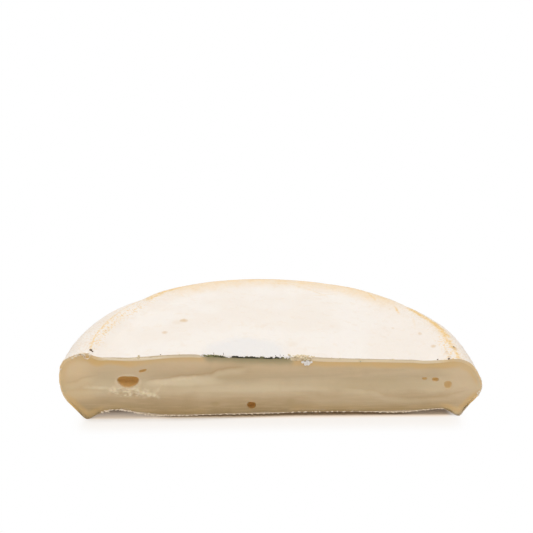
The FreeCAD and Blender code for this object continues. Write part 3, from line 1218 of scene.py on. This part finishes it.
def curl(x, z, radius, thickness, start, end):
    """A curled strip of rind: a short section swept round part of a circle."""
    bpy.ops.mesh.primitive_circle_add(
        vertices=10, radius=thickness * MM, location=(0, 0, 0), rotation=(0, 0, 0)
    )
    strip = bpy.context.object
    middle = Vector((x * MM, CUT_Y - 0.2 * MM, z * MM))
    begin = Matrix.Rotation(math.radians(-start), 3, "Y")
    for point in strip.data.vertices:
        section = Vector((radius * MM + point.co.x * 0.7, point.co.y * 1.6, 0))
        point.co = middle + begin @ section
    with editing(strip):
        bpy.ops.mesh.edge_face_add()
        bpy.ops.mesh.spin(
            steps=18, angle=-math.radians(end - start), center=middle, axis=(0, 1, 0)
        )
        bpy.ops.mesh.select_all(action="SELECT")
        bpy.ops.mesh.normals_make_consistent(inside=False)
    for point in strip.data.vertices:
        point.co += Vector((0, 1, 0.6)) * 0.15 * MM * grain(point.co, 0.5 * MM)
    return strip


class HALFWHEEL_OT_shreds(bpy.types.Operator):
    """Makes the curls and frayed shreds of rind round the edge of the cut"""

    bl_idname = "half_wheel.shreds"
    bl_label = "Shreds"

    def execute(self, context):
        chance = random.Random(5)
        skin = rind_skin()
        shreds = []
        x = FRAYED_FROM
        while x < FRAYED_TO:
            low = bottom_of(skin, x * MM, EDGE_ROW)
            busy = 1 if x < FINE_FROM else 0.55
            halves = (chance.uniform(0.25, 0.75), 0.3, chance.uniform(0.16, 0.36) * busy)
            place = Vector((x * MM, CUT_Y - chance.uniform(0, 0.25) * MM, low + 0.15 * MM))
            shreds.append((place, halves, chance.uniform(-25, 25)))
            x += chance.uniform(0.5, 1.6) / busy
        for side, lowest, highest, count in END_SHREDS:
            for step in range(count):
                z = (lowest + (highest - lowest) * (step + chance.random()) / count) * MM
                x = end_of(skin, side, z) - side * 0.15 * MM
                half = chance.uniform(0.18, 0.42)
                place = Vector((x, CUT_Y + chance.uniform(0, 0.5) * MM, z))
                shreds.append((place, (half * 0.6, half, half), chance.uniform(-40, 40)))
        for x, z, half_width, half_height, turn in HANGING:
            place = Vector((x * MM, CUT_Y - 0.15 * MM, z * MM))
            shreds.append((place, (half_width, 0.22, half_height), turn))
        frayed = scattered("frayed", shreds)
        curls = [curl(*facts) for facts in CURLS]
        bits = joined([frayed, *curls], "rind_shreds")
        dress_bits(bits, colours().shred, colours().bloom_grey, "rind")
        return {"FINISHED"}


# ---- stage
CAMERA_PLACE = Vector((-7.3, -384.2, 209.4)) * MM
CAMERA_AIM = Vector((0.01504, 0.91694, -0.39875))
CAMERA_LENS = 75.3
SENSOR_WIDTH = 36
CLIP_START = 0.01
LAMP_PLACE = (0, -0.15, 1.1)
LAMP_SIZE = 1.2
FLOOR_SIDE = 8
STANDS_TO = FEET[1][0]          # how far from the axis the cheese stands on the floor, in mm
AROUND_LIGHT = 0.36             # strength of the light from all round
WHITE = (1, 1, 1, 1)


def floor_material():
    """Pale near the cheese, where it keeps the shadow, deepened and shaped there with painted shade
    and painted light, and plain white far away.
    """
    recipe = Recipe(bpy.data.materials.new("floor"))
    x, y, _ = recipe.place()
    aside = recipe.distance(x, y) - STANDS_TO
    beside = aside.rise(-5, 1.5)
    # The white glow's share near the cheese is painted light fitted to the shadow: it shapes the
    # shadow's edge in front of the cut and lights the shadow under the arches.
    lag = 2.6 - x.rise(-34, 12) * 2.6
    before = (y + lag).rise(0.8, -1.3) * 0.8 + y.rise(-3, -13) * 0.2
    painted_arch_light = (x.rise(-34, -42) * 0.36 + x.rise(46, 54) * 0.12) * y.rise(6, 0.5)
    share = beside.most(before.most(painted_arch_light))
    # A painted contact shadow: a darker, browner floor under the cheese's edge.
    near = aside.most(0 - y).rise(2, 0)
    tint = recipe.blend(near, colours().floor, colours().floor_painted_shadow)
    inputs = {"Base Color": tint, "Roughness": 1, "Specular IOR Level": 0}
    pale = recipe.node("ShaderNodeBsdfPrincipled", inputs=inputs)
    # The glow's colour: a painted soft shadow in front of the cut and painted warm bounce light
    # under the cheese.
    under = aside.rise(-1, -5) * y.rise(-2.5, -0.5)
    glow = recipe.blend(y.rise(-13, -4), WHITE, colours().floor_front_painted_shade)
    glow = recipe.blend(aside.rise(5, -5), WHITE, glow)
    glow = recipe.blend(under, glow, colours().floor_glow)
    white = recipe.node("ShaderNodeEmission", inputs={"Color": glow, "Strength": 1})
    mixed = recipe.node("ShaderNodeMixShader", inputs=[share * recipe.seen(), pale, white])
    recipe.node("ShaderNodeOutputMaterial", inputs={"Surface": mixed})
    return recipe.owner


def light_world():
    """Soft light from all round, seen as plain white."""
    world = bpy.data.worlds.new("studio")
    bpy.context.scene.world = world
    recipe = Recipe(world)
    lights = [
        recipe.node("ShaderNodeBackground", inputs={"Color": WHITE, "Strength": strength})
        for strength in (AROUND_LIGHT, 1)
    ]
    mixed = recipe.node("ShaderNodeMixShader", inputs=[recipe.seen(), *lights])
    recipe.node("ShaderNodeOutputWorld", inputs={"Surface": mixed})


def placed(name, data, place):
    """A new lamp or camera in the scene."""
    thing = bpy.data.objects.new(name, data)
    bpy.context.scene.collection.objects.link(thing)
    thing.location = place
    return thing


class HALFWHEEL_OT_stage(bpy.types.Operator):
    """Makes the floor, the soft lights and the camera"""

    bl_idname = "half_wheel.stage"
    bl_label = "Stage"

    def execute(self, context):
        bpy.ops.mesh.primitive_plane_add(size=1, location=(0, 0, CHEESE_LOW.z))
        floor = settled(bpy.context.object, "floor", (FLOOR_SIDE, FLOOR_SIDE, 1))
        floor.data.materials.append(floor_material())
        light_world()
        lamp = bpy.data.lights.new("overhead", "AREA")
        lamp.shape = "DISK"
        lamp.size = LAMP_SIZE
        lamp.energy = sizes().lamp_power
        placed("overhead", lamp, LAMP_PLACE)
        camera = placed("camera", bpy.data.cameras.new("camera"), CAMERA_PLACE)
        camera.rotation_euler = CAMERA_AIM.to_track_quat("-Z", "Y").to_euler()
        camera.data.lens = CAMERA_LENS
        camera.data.sensor_width = SENSOR_WIDTH
        camera.data.clip_start = CLIP_START
        context.scene.camera = camera
        context.scene.view_settings.view_transform = "Standard"
        return {"FINISHED"}


# ---- sizes and colours to change
def shade(name, description, *levels):
    """A colour property, given as a screen shows it: red, green and blue from 0 to 255."""
    default = []
    for level in levels:
        share = level / 255
        default.append(share / 12.92 if share <= 0.04045 else ((share + 0.055) / 1.055) ** 2.4)
    return bpy.props.FloatVectorProperty(
        name=name, description=description, subtype="COLOR", size=4, min=0, max=1,
        default=(*default, 1),
    )


def length(name, description, millimetres):
    """A length property, given in millimetres."""
    return bpy.props.FloatProperty(
        name=name, description=description, default=millimetres * MM, min=0.05 * MM,
        unit="LENGTH", precision=5,
    )


class HalfWheelSizes(bpy.types.PropertyGroup):
    rind_face: length("Rind face", "Side of one face of the rind", 0.56)
    rind_thickness: length("Rind thickness", "Thickness of the upper rind seen at the cut", 1.45)
    rind_relief: bpy.props.FloatProperty(
        name="Rind relief", description="Strength of the folds and bloom on the rind",
        default=1, min=0, max=2, subtype="FACTOR",
    )
    paste_face: length("Paste face", "Side of one face of the cut", 0.33)
    paste_depth: length("Paste depth", "How far behind the cut the paste goes on", 6)
    mark_face: length("Mark face", "Side of one face of the green mark", 0.25)
    lamp_power: bpy.props.FloatProperty(
        name="Lamp power", description="Power of the overhead lamp",
        default=9.65, min=0, unit="POWER",
    )


class HalfWheelColours(bpy.types.PropertyGroup):
    bloom: shade("Bloom", "White bloom on the rind", 251, 243, 234)
    bloom_warm: shade("Warm bloom", "Warmer fields of the bloom", 249, 239, 228)
    bloom_grey: shade("Grey bloom", "Thin places in the bloom", 244, 227, 207)
    cream: shade("Cream bloom", "Bloom along the lip", 250, 225, 191)
    film: shade("Film", "Thin bloom over the casein mark", 241, 237, 233)
    golden: shade("Golden skin", "Washed skin that shows through", 248, 212, 152)
    golden_deep: shade("Deep golden skin", "Washed skin in creases", 238, 201, 136)
    tan: shade("Tan spots", "Small spots on the rind", 222, 188, 140)
    # The dim outer skins at the cut are partly painted shade along the bloom's edge.
    edge_skin_and_shade: shade("Edge skin", "Outermost skin at the cut", 229, 209, 180)
    edge_pale: shade("Edge layer", "Pale layer of the rind at the cut", 247, 226, 190)
    dim_edge_skin_and_shade: shade("Dim edge line", "Dim skin at the edge, left of the mark", 222, 200, 166)
    edge_line: shade("Pale edge line", "Pale line under the skin, left of the mark", 255, 238, 210)
    edge_inner: shade("Inner edge layer", "Innermost layer of the rind at the cut", 245, 222, 186)
    edge_low: shade("Low edge", "The rind at the cut near the board", 226, 208, 184)
    edge_end: shade("End edge", "The rind at both ends of the cut", 241, 208, 158)
    # The paste by height darkens towards the board, partly riper paste and partly painted shade;
    # its light band is painted light.
    paste_top: shade("Upper paste", "Paste in the upper part", 228, 200, 160)
    paste_middle: shade("Middle paste", "Paste at half height", 210, 186, 149)
    paste_band: shade("Light paste", "The light band along the middle", 224, 202, 165)
    paste_below: shade("Lower paste", "Paste below the light band", 203, 176, 136)
    paste_low: shade("Low paste", "Paste near the board", 183, 156, 113)
    paste_foot: shade("Foot of the paste", "Paste at the board", 160, 134, 92)
    paste_left: shade("Left paste", "Paste at the left end", 243, 213, 168)
    paste_left_low: shade("Low left paste", "Paste low at the left end", 226, 196, 149)
    paste_right: shade("Right paste", "Paste at the right end", 236, 209, 170)
    # Painted highlight and painted shade along the knife's marks; the pale one is partly torn
    # paste.
    torn_paste_and_highlight: shade("Torn paste", "Crumbs and ridges that the knife raised", 246, 228, 194)
    painted_paste_shade: shade("Crease", "Creases that the knife left", 190, 150, 104)
    orange_band: shade("Ripe paste", "Ripe paste under the rind", 232, 191, 126)
    green_paste: shade("Greenish paste", "Paste next to the casein mark", 172, 158, 118)
    green: shade("Casein green", "Green of the casein mark", 142, 140, 94)
    green_dark: shade("Dark casein green", "Darkest green of the mark", 54, 50, 40)
    eye: shade("Eye", "Inside of the eyes", 214, 168, 96)
    # Painted light on the lower side of the large eye.
    eye_low_painted_light: shade("Low eye", "The lower side of the large eye", 244, 200, 128)
    floor: shade("Floor", "The pale floor", 249, 248, 247)
    # Painted shadow under the cheese's edge, painted soft shadow in front of the cut and painted
    # bounce light under the cheese.
    floor_painted_shadow: shade("Floor under", "The floor under the cheese's edge", 212, 190, 160)
    floor_front_painted_shade: shade("Floor front", "Floor just in front of the cut", 250, 246, 242)
    floor_glow: shade("Floor glow", "Light on the floor under the cheese", 255, 238, 221)
    speck: shade("Speck", "Dark specks on the rind", 74, 62, 52)
    speck_brown: shade("Brown speck", "Browner specks on the rind", 118, 92, 64)
    crumb: shade("Crumb", "Crumbs of paste at the edge", 219, 208, 176)
    # Darker fields of the paste, most of them painted shade above the knife's creases.
    darker_field: shade("Stain", "Faint stains in the paste", 178, 152, 100)
    shred: shade("Shred", "Torn shreds of rind", 242, 227, 200)


OPERATORS = (
    HALFWHEEL_OT_rind, HALFWHEEL_OT_paste, HALFWHEEL_OT_green_mark, HALFWHEEL_OT_bloom_crumbs,
    HALFWHEEL_OT_paste_crumbs, HALFWHEEL_OT_specks, HALFWHEEL_OT_shreds, HALFWHEEL_OT_stage,
)


class HALFWHEEL_PT_panel(bpy.types.Panel):
    """Lists the steps that make the half wheel"""

    bl_idname = "HALFWHEEL_PT_panel"
    bl_label = "Half wheel"
    bl_space_type = "VIEW_3D"
    bl_region_type = "UI"
    bl_category = "Half wheel"

    def draw(self, context):
        for step in OPERATORS:
            self.layout.operator(step.bl_idname)
        for group in (sizes(), colours()):
            for name in group.bl_rna.properties.keys():
                if name not in ("rna_type", "name"):
                    self.layout.prop(group, name)


CLASSES = (HalfWheelSizes, HalfWheelColours, *OPERATORS, HALFWHEEL_PT_panel)


def register():
    for kind in CLASSES:
        bpy.utils.register_class(kind)
    bpy.types.Scene.half_wheel_sizes = bpy.props.PointerProperty(type=HalfWheelSizes)
    bpy.types.Scene.half_wheel_colours = bpy.props.PointerProperty(type=HalfWheelColours)


def unregister():
    del bpy.types.Scene.half_wheel_colours
    del bpy.types.Scene.half_wheel_sizes
    for kind in reversed(CLASSES):
        bpy.utils.unregister_class(kind)


def main():
    register()
    bpy.ops.half_wheel.rind()
    bpy.ops.half_wheel.paste()
    bpy.ops.half_wheel.green_mark()
    bpy.ops.half_wheel.bloom_crumbs()
    bpy.ops.half_wheel.paste_crumbs()
    bpy.ops.half_wheel.specks()
    bpy.ops.half_wheel.shreds()
    bpy.ops.half_wheel.stage()
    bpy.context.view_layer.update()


if __name__ == "__main__":
    main()
